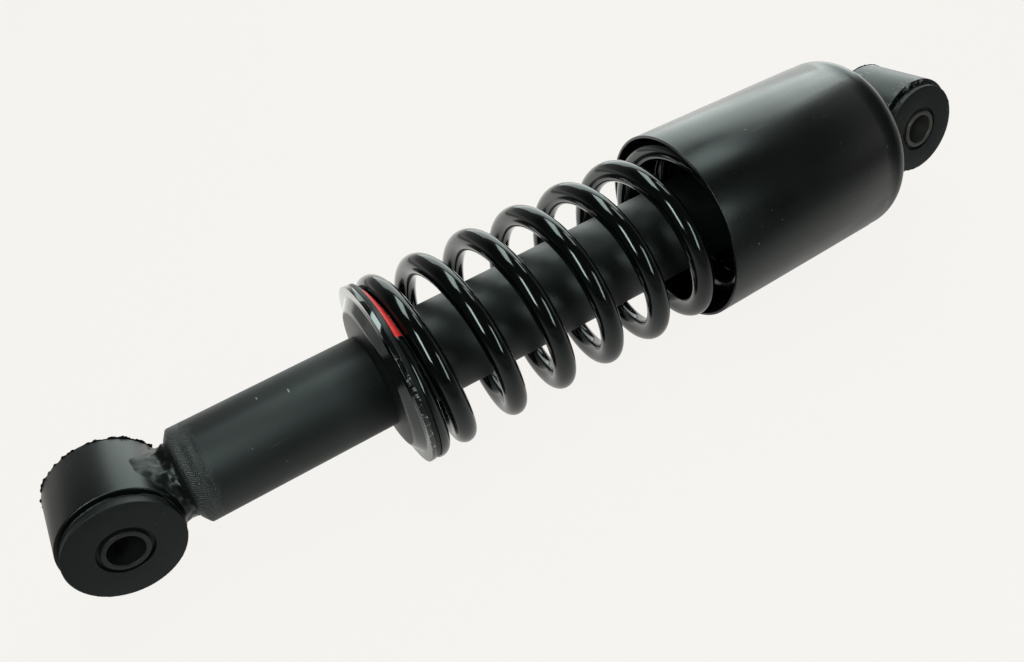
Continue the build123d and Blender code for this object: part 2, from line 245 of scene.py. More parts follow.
def math(operation, first, *others, clamp=False):
    """Arithmetic on sockets and constants; the first one is always a socket, which knows its tree."""
    inputs = dict(enumerate((first,) + others))
    return add(first.id_data, "ShaderNodeMath", inputs, operation=operation, use_clamp=clamp).outputs[0]


def times(product, *values):
    for value in values:
        product = math("MULTIPLY", product, value)
    return product


def plus(total, *values):
    for value in values:
        total = math("ADD", total, value)
    return total


def minus(first, second):
    return math("SUBTRACT", first, second)


def xyz(vector):
    return add(vector.id_data, "ShaderNodeSeparateXYZ", {"Vector": vector}).outputs


def new_material(name, **constants):
    """A material, its shader with the constants set, and the place on the object."""
    material = bpy.data.materials.new(name)
    material.use_nodes = True
    tree = material.node_tree
    shader = tree.nodes["Principled BSDF"]
    feed(shader, {socket.replace("_", " "): value for socket, value in constants.items()})
    place = add(tree, "ShaderNodeTexCoord").outputs["Object"]
    return material, shader, place


def pattern(place, size, stretch=(1, 1, 1), detail=3.0, roughness=0.55):
    """Cloudy values of 0 to 1 whose patches are about as large as size, in metres."""
    mapped = add(place.id_data, "ShaderNodeMapping", {"Vector": place, "Scale": stretch}).outputs[0]
    return add(place.id_data, "ShaderNodeTexNoise", {
        "Vector": mapped, "Scale": 0.5 / size, "Detail": detail, "Roughness": roughness}).outputs["Fac"]


def between(value, low, high, start=0.0, end=1.0):
    """Maps low to start and high to end, and holds both ends."""
    return add(value.id_data, "ShaderNodeMapRange", {
        "Value": value, "From Min": low, "From Max": high, "To Min": start, "To Max": end}).outputs[0]


def blend(share, first, second):
    inputs = {0: share, 6: first, 7: second}
    return add(share.id_data, "ShaderNodeMix", inputs, data_type="RGBA", clamp_factor=True).outputs[2]


def choose(share, first, second):
    """As blend, for numbers."""
    inputs = {0: share, 2: first, 3: second}
    return add(share.id_data, "ShaderNodeMix", inputs, data_type="FLOAT").outputs[0]


def dot(first, second):
    inputs = {0: first, 1: second}
    return add(first.id_data, "ShaderNodeVectorMath", inputs, operation="DOT_PRODUCT").outputs["Value"]


def shade(paint, factor):
    return [min(1, part * factor) for part in paint[:3]] + [1]


def cover(shader, share, code):
    """Lays a second colour over the shader's own."""
    feed(shader, {"Base Color": blend(share, linked(shader, "Base Color"), hex_colour(code))})


def roughen(shader, *shares):
    feed(shader, {"Roughness": plus(linked(shader, "Roughness"), *shares)})


def specks(place, spacing, share):
    """Small dots, about spacing apart; share is how much of its cell a dot fills."""
    tree = place.id_data
    cells = add(tree, "ShaderNodeTexVoronoi", {"Vector": place, "Scale": 1 / spacing, "Randomness": 1.0})
    random = add(tree, "ShaderNodeSeparateColor", {"Color": cells.outputs["Color"]}).outputs[0]
    return math("LESS_THAN", cells.outputs["Distance"], times(random, share))


def bumped(shader, height, depth, under=None):
    """Adds a relief of a depth in metres to the shader, over another one where it is given."""
    inputs = {"Height": height, "Distance": depth, "Strength": 1.0}
    if under is not None:
        inputs["Normal"] = under
    normal = add(shader.id_data, "ShaderNodeBump", inputs).outputs[0]
    feed(shader, {"Normal": normal})
    return normal


# Black paint mirrors a pale room slightly greener than it is
PAINT_SHEEN = hex_colour("#F2FFFC")
# What lies on the films or shows through them
DUST = "#8D918D"
SEAT_PRIMER = "#A9ABA8"
TUBE_PRIMER = "#9A9D99"
RING_PRIMER = "#B9BAB4"
RUBBER_NICKS = "#7C807F"
FOAM_PORES = "#5A4C2C"
# On the tube: the place along it, the turn about it and half the length of each scratch
SCRATCHES = ((77 * MM, radians(93), 0.9 * MM), (91 * MM, radians(104), 1.3 * MM))


def chassis_enamel(name, paint, roughness, peel=0.02, dust=0.35, streaks=False):
    """Sprayed satin enamel: its sheen drifts, the film has a fine peel, and handling left dust and scuffs."""
    material, shader, place = new_material(name, IOR=1.5, Specular_Tint=PAINT_SHEEN)
    drift = pattern(place, 22 * MM, detail=4)
    peel_height = pattern(place, 1.1 * MM, detail=1)
    grit = pattern(place, 0.45 * MM, detail=0)
    dots = specks(place, 5.5 * MM, 0.075)
    patchy = between(pattern(place, 14 * MM), 0.5, 0.62)
    dusty = times(dots, patchy, dust)
    scuffs = between(pattern(place, 1.6 * MM, (0.12, 1, 1), 6, 0.7), 0.66, 0.74, 0, 0.25 * dust)
    pale = math("ADD", dusty, scuffs, clamp=True)
    tone = blend(between(drift, 0.3, 0.7), shade(paint, 0.85), shade(paint, 1.2))
    sheen = between(drift, 0.3, 0.7, roughness - 0.035, roughness + 0.045)
    sheen = plus(sheen, times(pale, 0.3))
    if streaks:
        # Drawing lines run along the can, and the film shows them as lines of sheen
        lines = pattern(place, 2.5 * MM, (0.03, 1, 1), 2, 0.5)
        sheen = plus(sheen, between(lines, 0.35, 0.65, -0.012, 0.012))
    feed(shader, {"Base Color": blend(pale, tone, hex_colour(DUST)), "Roughness": sheen})
    under = bumped(shader, peel_height, peel * MM)
    bumped(shader, grit, peel * 0.35 * MM, under)
    return material, shader, place


def seat_enamel(paint, seat):
    """The seat was dipped, so its enamel is thick and glossy, and its edge is chipped."""
    material, shader, place = chassis_enamel("gloss_dipped_enamel", paint, 0.07, 0.015, 0.2)
    y, z = xyz(place)[1:]
    out = math("SQRT", plus(times(y, y), times(z, z)))
    rim = between(out, seat.radius - 0.6 * MM, seat.radius - 0.1 * MM)
    chips = between(pattern(place, 1.1 * MM, (0.6, 1, 1), 6, 0.75), 0.55, 0.62)
    stretches = between(pattern(place, 9 * MM, detail=2), 0.42, 0.55)
    worn = times(rim, chips, times(stretches, 0.85))
    cover(shader, worn, SEAT_PRIMER)
    # Round the tube the film is thin and as dry as the tube's
    dry = between(out, seat.base - 1.5 * MM, seat.base + 0.5 * MM, 1.0, 0.0)
    roughen(shader, times(worn, 0.35), times(dry, 0.4))
    feed(shader, {"IOR": 1.75, "Specular IOR Level": between(dry, 0, 1, 0.5, 0.2)})
    return material


def shroud_enamel(paint):
    """Satin outside; on the inside the film is made rougher and its reflection is turned down, as painted
    shade for the can's dark inside.
    """
    material, shader, place = chassis_enamel("satin_enamel_on_drawn_can", paint, 0.29, 0.01, 0.5, True)
    tree = material.node_tree
    facing = add(tree, "ShaderNodeTexCoord").outputs["Normal"]
    flat = add(tree, "ShaderNodeVectorMath", {0: place, 1: (0, 1, 1)}, operation="MULTIPLY")
    across = flat.outputs["Vector"]
    inside = math("LESS_THAN", dot(facing, across), -0.002)
    # Fine grey specks lie on it in clouds
    clouds = between(pattern(place, 24 * MM), 0.5, 0.6)
    cover(shader, times(specks(place, 2.6 * MM, 0.1), clouds, 0.4), DUST)
    # Painted shade for the dark inside of the can: rougher, and less reflection there
    roughen(shader, times(inside, 0.3))
    feed(shader, {"Specular IOR Level": between(inside, 0, 1, 0.5, 0.1)})
    return material


def tube_enamel(paint, tube, start, seat):
    """The tube's enamel is dry, and the closing rollers left a band of slanted marks at its end."""
    material, shader, place = chassis_enamel("dry_chassis_enamel_on_drawn_tube", paint, 0.48, 0.03, 0.3)
    x, y, z = xyz(place)
    # Painted shade: the film's reflection is turned down on both sides of the spring seat, most from 3 mm
    # before it to 6 mm past it, standing in for the shade round the seat
    shine = plus(between(x, seat - 22 * MM, seat - 3 * MM, 0.5, 0.15),
                 between(x, seat + 6 * MM, seat + 20 * MM, 0.0, 0.4))
    feed(shader, {"Specular IOR Level": shine})
    from_start = minus(x, start)
    along = math("DIVIDE", from_start, tube.band)
    ragged = plus(along, times(pattern(place, 3 * MM), 0.6))
    inside = times(between(along, 0.0, 0.08), between(ragged, 0.95, 1.3, 1, 0))
    turn = times(math("ARCTAN2", z, y), tube.radius)
    # The marks change their slant from row to row, as on a knurling roller
    row = math("PINGPONG", from_start, tube.mark_row)
    wander = times(pattern(place, 1.6 * MM), 2.8 * MM)
    slanted = plus(turn, times(row, 0.8), wander)
    marks = times(math("SINE", times(slanted, 2 * pi / tube.mark_spacing)), inside)
    bumped(shader, marks, 0.12 * MM, linked(shader, "Normal"))
    pale = times(between(marks, 0.55, 1.0), 0.22)
    # The scratches go through to the primer
    for at, turned_to, half in SCRATCHES:
        off_x = math("DIVIDE", minus(x, at), 0.35 * MM)
        off_turn = math("DIVIDE", minus(turn, turned_to * tube.radius), half)
        gone = plus(math("POWER", off_x, 2.0), math("POWER", off_turn, 2.0))
        pale = math("ADD", pale, between(gone, 0.6, 1.1, 0.7, 0), clamp=True)
    cover(shader, pale, TUBE_PRIMER)
    return material


def worn_enamel(paint):
    """The upper ring was knocked in handling: chips show pale primer along its edges."""
    material, shader, place = chassis_enamel("chipped_chassis_enamel", paint, 0.4, 0.02, 0.9)
    chips = between(pattern(place, 2.2 * MM, (1, 0.6, 1), 6, 0.75), 0.57, 0.62)
    edge = between(math("ABSOLUTE", xyz(place)[1]), 11 * MM, 20 * MM)
    cover(shader, times(chips, edge, 0.75), RING_PRIMER)
    return material


def weld_enamel(paint):
    """Enamel over the welds, whose reflection is turned down as painted shade for the weld's crevices."""
    material, shader = chassis_enamel("chassis_enamel_over_weld", paint, 0.34, 0.05, 0.2)[:2]
    # Painted shade: the whole bead reflects less
    feed(shader, {"Specular IOR Level": 0.36})
    return material


def gloss_powder_coat(paint, mark, spring, start):
    """Powder coat, baked on the spring: a wet look with a long, low orange peel, and a brushed paint mark."""
    material, shader, place = new_material("gloss_powder_coat", IOR=1.5, Specular_Tint=PAINT_SHEEN)
    x, y, z = xyz(place)
    angle = math("ARCTAN2", z, y)
    passed = minus(angle, spring.start_angle)
    edge = times(minus(pattern(place, 1.5 * MM, detail=2), 0.5), 1.6 * MM)
    # The brush wets a wider strip of the wire towards the stroke's end
    width = between(passed, 0.1, 0.85, 0.9 * MM, 2.3 * MM)
    reach = plus(times(passed, spring.wire / (2 * pi)), start, width)
    side = math("LESS_THAN", plus(x, times(edge, 0.15)), reach)
    begun = math("GREATER_THAN", passed, 0.1)
    stroke_end = plus(math("DIVIDE", edge, spring.outside / 2), spring.mark_end)
    ended = math("LESS_THAN", angle, stroke_end)
    thin = between(pattern(place, 1.2 * MM, (1, 0.3, 0.3), 5, 0.7), 0.62, 0.7, 1, 0.55)
    painted = times(side, begun, ended, thin)
    drift = pattern(place, 9 * MM)
    tone = blend(painted, blend(drift, shade(paint, 0.8), shade(paint, 1.3)), list(mark))
    gloss = between(drift, 0.3, 0.7, 0.085, 0.13)
    feed(shader, {"Base Color": tone, "Roughness": plus(gloss, times(painted, 0.32))})
    under = bumped(shader, pattern(place, 2.6 * MM, detail=1), 0.022 * MM)
    bumped(shader, pattern(place, 0.8 * MM, detail=0), 0.003 * MM, under)
    return material


def moulded_rubber(name, paint, shine=0.5):
    """Carbon-filled natural rubber from a worn mould: dull, faintly pitted, with a grey bloom in patches."""
    material, shader, place = new_material(name, IOR=1.38, Specular_Tint=PAINT_SHEEN)
    bloom = between(pattern(place, 9 * MM, detail=5), 0.42, 0.7)
    nicks = specks(place, 4.2 * MM, 0.09)
    tone = blend(bloom, shade(paint, 0.85), shade(paint, 1.45))
    feed(shader, {"Base Color": tone, "Roughness": between(bloom, 0, 1, shine - 0.05, shine + 0.12)})
    cover(shader, times(nicks, 0.22), RUBBER_NICKS)
    under = bumped(shader, pattern(place, 3.2 * MM, detail=4), 0.1 * MM)
    bumped(shader, pattern(place, 0.4 * MM, detail=1), 0.015 * MM, under)
    return material


def worked_metal(name, paint, roughness, metallic=1.0, grain=(0.08, 1, 1), grain_size=0.9, mottle=0.18,
                 depth=0.01):
    """Metal or a plated face with the lines of its working; mottle is how far its tone drifts."""
    material, shader, place = new_material(name, Metallic=metallic)
    lines = pattern(place, grain_size * MM, grain, 4, 0.6)
    drift = pattern(place, 6 * MM, detail=4)
    feed(shader, {
        "Base Color": blend(drift, shade(paint, 1 - mottle), shade(paint, 1 + mottle)),
        "Roughness": between(lines, 0.3, 0.7, roughness * 0.8, roughness * 1.25)})
    bumped(shader, lines, depth * MM)
    return material


def cell_foam(paint):
    """Microcellular polyurethane: matt skin with fine open pores."""
    material, shader, place = new_material("microcellular_polyurethane", IOR=1.45)
    pores = specks(place, 1.2 * MM, 0.35)
    drift = pattern(place, 7 * MM)
    feed(shader, {"Base Color": blend(drift, shade(paint, 0.85), paint),
                  "Roughness": between(drift, 0.3, 0.7, 0.7, 0.85)})
    cover(shader, times(pores, 0.4), FOAM_PORES)
    bumped(shader, pores, -0.08 * MM)
    return material


finishes = {}


def dress(nodes, finish):
    """Gives CAD nodes a finish."""
    for node in nodes.split():
        slots = frame["nodes"][node].data.materials
        slots.clear()
        slots.append(finishes[finish])


# Shapes

def rectangle(start, end, inner, outer):
    return [(start, inner), (start, outer), (end, outer), (end, inner)]


def rounded(outline, rounds, steps=6):
    """A closed outline of (x, radius) points with some corners rounded; rounds gives {corner: radius}."""
    points = []
    count = len(outline)
    for i, corner in enumerate(outline):
        size = rounds.get(i, 0)
        if not size:
            points.append(corner)
            continue
        at, before, after = (Vector(outline[j % count]) for j in (i, i - 1, i + 1))
        back, ahead = (before - at).normalized(), (after - at).normalized()
        half = back.angle(ahead) / 2
        reach = size / tan(half)
        middle = at + (back + ahead).normalized() * size / sin(half)
        first, last = at + back * reach - middle, at + ahead * reach - middle
        for k in range(steps + 1):
            spoke = first.slerp(last, k / steps).normalized() * size
            points.append(tuple(middle + spoke))
    return points


def turned(name, outline, sides=192, place=None, ripple=None, crease=32):
    """Turns a closed outline about X; ripple(x, r, angle) gives the changes of x and radius there."""
    shape = bmesh.new()
    rings = []
    for x, r in outline:
        ring = []
        for i in range(sides):
            angle = 2 * pi * i / sides
            dx, dr = ripple(x, r, angle) if ripple else (0, 0)
            ring.append(shape.verts.new((x + dx, (r + dr) * cos(angle), (r + dr) * sin(angle))))
        rings.append(ring)
    for first, second in zip(rings, rings[1:] + rings[:1]):
        for i in range(sides):
            j = (i + 1) % sides
            shape.faces.new((first[i], first[j], second[j], second[i]))
    return finished(name, shape, place, crease)


def placed(name, data):
    """An object of some data, in the scene."""
    made = bpy.data.objects.new(name, data)
    bpy.context.scene.collection.objects.link(made)
    return made


def finished(name, shape, place=None, crease=32):
    """Makes an object of a shape, with its place in its mesh, outward faces and creases at sharp edges."""
    if place is not None:
        bmesh.ops.transform(shape, matrix=place, verts=shape.verts)
    bmesh.ops.recalc_face_normals(shape, faces=shape.faces)
    mesh = bpy.data.meshes.new(name)
    shape.to_mesh(mesh)
    shape.free()
    mesh.polygons.foreach_set("use_smooth", [True] * len(mesh.polygons))
    mesh.set_sharp_from_angle(angle=radians(crease))
    return placed(name, mesh)


def fit(piece, node, finish, body):
    """Finishes a piece, puts it on its body and lets it stand for its CAD node."""
    piece.data.materials.clear()
    piece.data.materials.append(finishes[finish])
    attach(piece, body)
    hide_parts(node)
    return piece


def at_eye(place, turn):
    """Stands a piece that was turned about X on an eye's bolt axis."""
    along_bolt = Matrix.Rotation(turn, 4, "X") @ Matrix.Rotation(radians(90), 4, "Z")
    return Matrix.Translation((place, 0, 0)) @ along_bolt


def rough(x, angle, radius, size, seed):
    """Even noise of -1 to 1 over a turned surface, in lumps of about size."""
    return noise.noise(Vector((x, radius * cos(angle), radius * sin(angle))) / size + Vector((seed, 0, 0)))


Eye = namedtuple("Eye", "name place turn body front back flange tail front_flash back_flash")


def eyes():
    """Both eyes; front and back are the ring's ends along the bolt hole, and tail is the bush's back end."""
    sizes = bpy.context.scene.shock.eye
    ends = (
        ("lower", 0.0, 0.0, LOWER_BODY, sizes.lower_flange, sizes.lower_tail,
         sizes.lower_stub, sizes.lower_flash),
        ("upper", frame_length(), sizes.upper_turn, UPPER_BODY, sizes.upper_flange, sizes.upper_tail,
         sizes.upper_flash, sizes.upper_stub),
    )
    for name, place, turn, body, flange, tail, front_flash, back_flash in ends:
        low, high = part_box(name + "_eye_ring")
        half = ((high.y - low.y) / cos(turn) - 2 * sizes.ring_radius * abs(tan(turn))) / 2
        middle = (high.y + low.y) / 2 / cos(turn)
        yield Eye(name, place, turn, body, middle - half, middle + half, flange, middle + half + tail,
                  front_flash, back_flash)


def frame_length():
    """From eye to eye, as the record gives it."""
    mounts = {m["name"]: m["pos_m"] for m in frame["record"]["mounts"]}
    return mounts["upper_eye_bore"][0]


class Step:
    """What all operators share: make() gets the context and the settings."""

    def execute(self, context):
        self.make(context, context.scene.shock)
        return {"FINISHED"}


class SHOCK_OT_eye_rings(Step, Operator):
    """Makes the steel ring of each eye"""
    bl_idname = "shock.eye_rings"
    bl_label = "Eye Rings"

    def make(self, context, shock):
        sizes = shock.eye
        for eye in eyes():
            outer = sizes.ring_radius
            outline = rectangle(eye.front, eye.back, outer - sizes.ring_wall, outer)
            edges = rounded(outline, {1: sizes.ring_edge, 2: sizes.ring_edge})
            ring = turned(eye.name + "_eye_band", edges, place=at_eye(eye.place, eye.turn))
            fit(ring, eye.name + "_eye_ring", eye.name + "_ring_enamel", eye.body)


class SHOCK_OT_bushes(Step, Operator):
    """Makes the rubber bush of each eye, with the torn flash along its flanges, and its steel sleeve"""
    bl_idname = "shock.bushes"
    bl_label = "Bushes"

    def make(self, context, shock):
        for eye in eyes():
            self.rubber(eye, shock.eye)
            self.sleeve(eye, shock.eye)

    def rubber(self, eye, sizes):
        bore = sizes.ring_radius - sizes.ring_wall
        flange = eye.flange
        start = -sizes.bush_end
        inner = sizes.sleeve_radius + 0.05 * MM
        groove = sizes.sleeve_radius + sizes.groove
        deep = sizes.groove_depth
        front_fin = eye.front - sizes.front_fin
        back_fin = eye.back + sizes.back_fin
        lip = sizes.lower_lip if eye.name == "lower" else 0
        outline = [
            (start + deep, inner), (start + deep, groove), (start, groove), (start, flange + lip),
            (front_fin - 0.4 * MM, flange - lip / 2), (front_fin, flange + 0.15 * MM),
            (front_fin + 0.3 * MM, flange - 0.7 * MM),
            (front_fin + 0.7 * MM, flange - 1.3 * MM), (eye.front - 0.2 * MM, flange - 1.3 * MM),
            (eye.front - 0.1 * MM, bore), (eye.back + 0.1 * MM, bore), (eye.back + 0.1 * MM, flange),
            (back_fin, flange + 0.1 * MM), (eye.back + 0.8 * MM, flange), (eye.tail, flange),
            (eye.tail, groove), (eye.tail - deep, groove), (eye.tail - deep, inner),
        ]

        def ragged(x, r, angle):
            """Flash was torn off where the mould met the ring, so what is left stands up unevenly."""
            front, back = abs(x - front_fin) < 1e-6, abs(x - back_fin) < 1e-6
            seed = eye.place * 100 + (31 if back else 7)
            if x < start + 1 * MM and r > flange - 0.5 * MM:
                return 0, 0.5 * MM * max(0, rough(0, angle, flange, 2.2 * MM, seed + 3) - 0.25)
            if not front and not back:
                return 0, 0
            tear = rough(x, angle, flange, 2.6 * MM, seed) + 0.5 * rough(x, angle, flange, 1.1 * MM, seed + 9)
            wide = rough(x, angle, flange, 15 * MM, seed + 20)
            if front:
                return 0.25 * MM * tear, eye.front_flash * max(0, 0.45 + 0.9 * tear + 0.5 * wide)
            stands = sizes.ring_radius - flange + eye.back_flash * (0.2 + 0.8 * tear + 0.5 * wide)
            return 0.2 * MM * tear, max(0, stands)

        rounds = {2: 0.3 * MM, 3: sizes.flange_edge, 14: sizes.flange_edge, 15: 0.3 * MM}
        place = at_eye(eye.place, eye.turn)
        piece = turned(eye.name + "_rubber_bush", rounded(outline, rounds), 384, place, ragged, 50)
        fit(piece, eye.name + "_bush_rubber", "rubber", eye.body)

    def sleeve(self, eye, sizes):
        end = sizes.bush_end + 0.5 * MM
        outline = rectangle(-end, end, sizes.bolt_radius, sizes.sleeve_radius)
        edges = rounded(outline, {i: 0.45 * MM for i in range(4)}, 4)
        piece = turned(eye.name + "_sleeve", edges, 128, at_eye(eye.place, eye.turn))
        fit(piece, eye.name + "_bush_sleeve", eye.name + "_sleeve", eye.name + "_sleeve")


class SHOCK_OT_eye_welds(Step, Operator):
    """Makes the lumpy weld bead between each eye and what it is welded to"""
    bl_idname = "shock.eye_welds"
    bl_label = "Eye Welds"

    def make(self, context, shock):
        closing = low_x("reservoir_tube")
        lip = shock.tube.radius - shock.tube.rolled_width
        self.bead("lower", 0, 1, closing + 0.6 * MM, LOWER_BODY,
                  foot=19.8 * MM, waist=18.0 * MM, top=lip - 0.6 * MM)
        self.bead("upper", frame_length(), -1, high_x("shroud") - 0.4 * MM, UPPER_BODY,
                  foot=18.2 * MM, waist=17.0 * MM, top=16.6 * MM)

    def bead(self, name, place, way, end, body, foot, waist, top, rows=26, sides=160):
        """A closed bead from inside the ring's wall to x = end; foot, waist and top are its radii."""
        sizes = bpy.context.scene.shock.eye
        ring = sizes.ring_radius
        shape = bmesh.new()
        grid = []
        for i in range(sides):
            angle = 2 * pi * i / sides
            column = []
            for j in range(rows + 1):
                share = j / rows
                flare = 2.6 * MM * max(0, 1 - share / 0.28) ** 2
                r = foot + (waist - foot) * min(1, share / 0.6) + flare
                r += (top - waist) * max(0, share - 0.6) / 0.4
                saddle = sqrt(max(0, ring ** 2 - (r * sin(angle)) ** 2)) - 1.2 * MM
                run = abs(end - place) - saddle
                lump = rough(share * run, angle, foot, 8 * MM, way * 3)
                lump += 0.25 * rough(share * run, angle, foot, 4 * MM, way * 7)
                rolls = 0.12 * sin(angle * 17 + 5 * share + 4 * lump)
                fade = min(1, (1 - share) / 0.12) * min(1, share / 0.1)
                r += sizes.weld_lump * (1.1 * lump + 0.8 * rolls) * fade
                x = place + way * (saddle + share * run)
                column.append(shape.verts.new((x, r * cos(angle), r * sin(angle))))
            grid.append(column)
        for first, second in zip(grid, grid[1:] + grid[:1]):
            for j in range(rows):
                shape.faces.new((first[j], second[j], second[j + 1], first[j + 1]))
        for j in (0, rows):
            middle = shape.verts.new((sum(c[j].co.x for c in grid) / sides, 0, 0))
            for first, second in zip(grid, grid[1:] + grid[:1]):
                shape.faces.new((first[j], second[j], middle))
        piece = finished(name + "_weld_bead", shape, crease=180)
        fit(piece, name + "_eye_weld", "weld_enamel", body)


class SHOCK_OT_tube(Step, Operator):
    """Makes the reservoir tube, rolled in at its lower end and crimped at its upper end"""
    bl_idname = "shock.tube"
    bl_label = "Reservoir Tube"

    def make(self, context, shock):
        sizes = shock.tube
        start, end = low_x("reservoir_tube"), high_x("reservoir_tube")
        corner = start + sizes.rolled_depth
        slope = hypot(sizes.rolled_depth, sizes.rolled_width)
        lip = (start + sizes.wall * sizes.rolled_width / slope,
               sizes.radius - sizes.rolled_width - sizes.wall * sizes.rolled_depth / slope)
        inner = sizes.radius - sizes.wall
        outline = [
            (start, sizes.radius - sizes.rolled_width), (corner, sizes.radius), (end, sizes.radius),
            (end, sizes.mouth), (end - sizes.wall, sizes.mouth), (end - sizes.wall, inner),
            (lip[0] + (inner - lip[1]) * sizes.rolled_depth / sizes.rolled_width, inner), lip,
        ]

        def pressed(x, r, angle):
            """The rollers left the rolled end slightly uneven."""
            near = max(0.0, 1 - abs(x - corner) / (4 * MM))
            return 0, sizes.dent * near * rough(0, angle, sizes.radius, 7 * MM, 2)

        shape = rounded(outline, {0: 0.5 * MM, 1: sizes.rolled_edge, 2: 1.8 * MM, 3: 0.4 * MM})
        tube = turned("damper_tube", shape, 256, ripple=pressed)
        fit(tube, "reservoir_tube", "tube_enamel", LOWER_BODY)


class SHOCK_OT_lower_seat(Step, Operator):
    """Makes the dished lower seat and the rubber ring that the spring stands on"""
    bl_idname = "shock.lower_seat"
    bl_label = "Lower Seat"

    def make(self, context, shock):
        sizes = shock.seat
        tube = shock.tube.radius
        top = high_x("lower_spring_seat")
        place = top - sizes.sheet
        back = place - sizes.depth
        below = [(back, tube), (back + sizes.rise, sizes.base), (place, sizes.neck), (place, sizes.radius)]
        above = beside(below, sizes.sheet)
        # The sheet was bored square to the tube
        above[0] = (above[0][0], tube)
        rounds = {1: sizes.base_bend, 2: sizes.flange_bend, 3: sizes.edge, 4: sizes.edge,
                  5: sizes.flange_bend + sizes.sheet, 6: sizes.inner_bend}
        dish = turned("lower_seat_dish", rounded(below + above[::-1], rounds, 8), 256)
        fit(dish, "lower_spring_seat", "gloss_enamel", LOWER_BODY)
        low, high = low_x("lower_isolator"), high_x("lower_isolator")
        outer = sizes.radius - 0.35 * MM
        outline = rectangle(low, high, sizes.pad_inner, outer)

        def slack(x, r, angle):
            """The ring is a loose rubber washer, so its edge wanders a little."""
            return 0, 0.25 * MM * rough(0, angle, outer, 18 * MM, 5) if r > tube * 1.7 else 0

        pad = turned("lower_pad", rounded(outline, {i: sizes.pad_edge for i in range(4)}), 256, ripple=slack)
        fit(pad, "lower_isolator", "pad_rubber", LOWER_BODY)


def beside(path, distance):
    """The same path of points moved to its right by a distance, with its corners kept sharp."""
    points = [Vector(point) for point in path]
    ways = [(after - before).normalized() for before, after in zip(points, points[1:])]
    moved = []
    for i, point in enumerate(points):
        first, second = ways[max(i - 1, 0)], ways[min(i, len(ways) - 1)]
        sides = Vector((first.y, -first.x)), Vector((second.y, -second.x))
        middle = (sides[0] + sides[1]).normalized()
        moved.append(tuple(point + middle * distance / middle.dot(sides[0])))
    return moved


def ease(share):
    share = max(0.0, min(1.0, share))
    return share ** 3 * (share * (6 * share - 15) + 10)


def wire_line(sizes, start, end):
    """Points along the middle of the wire: closed at both ends and open between."""
    mean = (sizes.outside - sizes.wire) / 2
    steps = round(sizes.turns * sizes.steps)
    step = sizes.turns / steps
    share = []
    for i in range(steps):
        at = (i + 0.5) * step
        share.append(ease((min(at, sizes.turns - at) - sizes.closed) / sizes.rising))
    closed_pitch = sizes.wire + sizes.gap
    closed_length = closed_pitch * step * sum(1 - s for s in share)
    open_pitch = (end - start + 2 * sizes.sink - closed_length) / (step * sum(share))
    place = start - sizes.sink
    points = []
    for i in range(steps + 1):
        angle = sizes.start_angle + 2 * pi * i * step
        points.append((place, mean * cos(angle), mean * sin(angle)))
        if i < steps:
            place += step * (closed_pitch * (1 - share[i]) + open_pitch * share[i])
    return points


def wire_tree(material, sizes, start, end):
    """Geometry nodes that wind the wire along the object's edges and grind its ends flat at start and end."""
    tree = bpy.data.node_groups.new("wound_wire", "GeometryNodeTree")
    for way in ("INPUT", "OUTPUT"):
        tree.interface.new_socket("Geometry", in_out=way, socket_type="NodeSocketGeometry")
    given = add(tree, "NodeGroupInput").outputs["Geometry"]
    line = add(tree, "GeometryNodeMeshToCurve", {"Mesh": given}).outputs[0]
    section = add(tree, "GeometryNodeCurvePrimitiveCircle", {
        "Resolution": sizes.sides, "Radius": sizes.wire / 2}).outputs[0]
    wire = add(tree, "GeometryNodeCurveToMesh", {
        "Curve": line, "Profile Curve": section, "Fill Caps": True}).outputs[0]
    block = 0.3
    for middle in (start - block / 2, end + block / 2):
        cube = add(tree, "GeometryNodeMeshCube", {"Size": (block, block, block)}).outputs["Mesh"]
        stone = add(tree, "GeometryNodeTransform", {
            "Geometry": cube, "Translation": (middle, 0, 0)}).outputs[0]
        cut = add(tree, "GeometryNodeMeshBoolean", {"Mesh 1": wire, "Mesh 2": stone}, operation="DIFFERENCE",
                  solver="EXACT")
        wire = cut.outputs["Mesh"]
    real = add(tree, "GeometryNodeRealizeInstances", {"Geometry": wire}).outputs[0]
    coated = add(tree, "GeometryNodeSetMaterial", {"Geometry": real, "Material": material}).outputs[0]
    add(tree, "NodeGroupOutput", {"Geometry": coated})
    return tree


class SHOCK_OT_spring(Step, Operator):
    """Winds the coil spring along its line and grinds its ends"""
    bl_idname = "shock.spring"
    bl_label = "Coil Spring"

    def make(self, context, shock):
        sizes = shock.spring
        start, end = high_x("lower_isolator"), low_x("upper_isolator")
        points = wire_line(sizes, start, end)
        line = bpy.data.meshes.new("wire_line")
        line.from_pydata(points, [(i, i + 1) for i in range(len(points) - 1)], [])
        winding = placed("winding", line)
        modifier = winding.modifiers.new("Wound wire", "NODES")
        modifier.node_group = wire_tree(finishes["powder_coat"], sizes, start, end)
        context.view_layer.update()
        depsgraph = context.evaluated_depsgraph_get()
        mesh = bpy.data.meshes.new_from_object(winding.evaluated_get(depsgraph), depsgraph=depsgraph)
        bpy.data.objects.remove(winding)
        shape = bmesh.new()
        shape.from_mesh(mesh)
        bpy.data.meshes.remove(mesh)
        if not shape.faces:
            raise RuntimeError("the wire was not wound")
        spring = fit(finished("wound_spring", shape, crease=30), "coil_spring", "powder_coat", LOWER_BODY)
        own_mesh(spring)


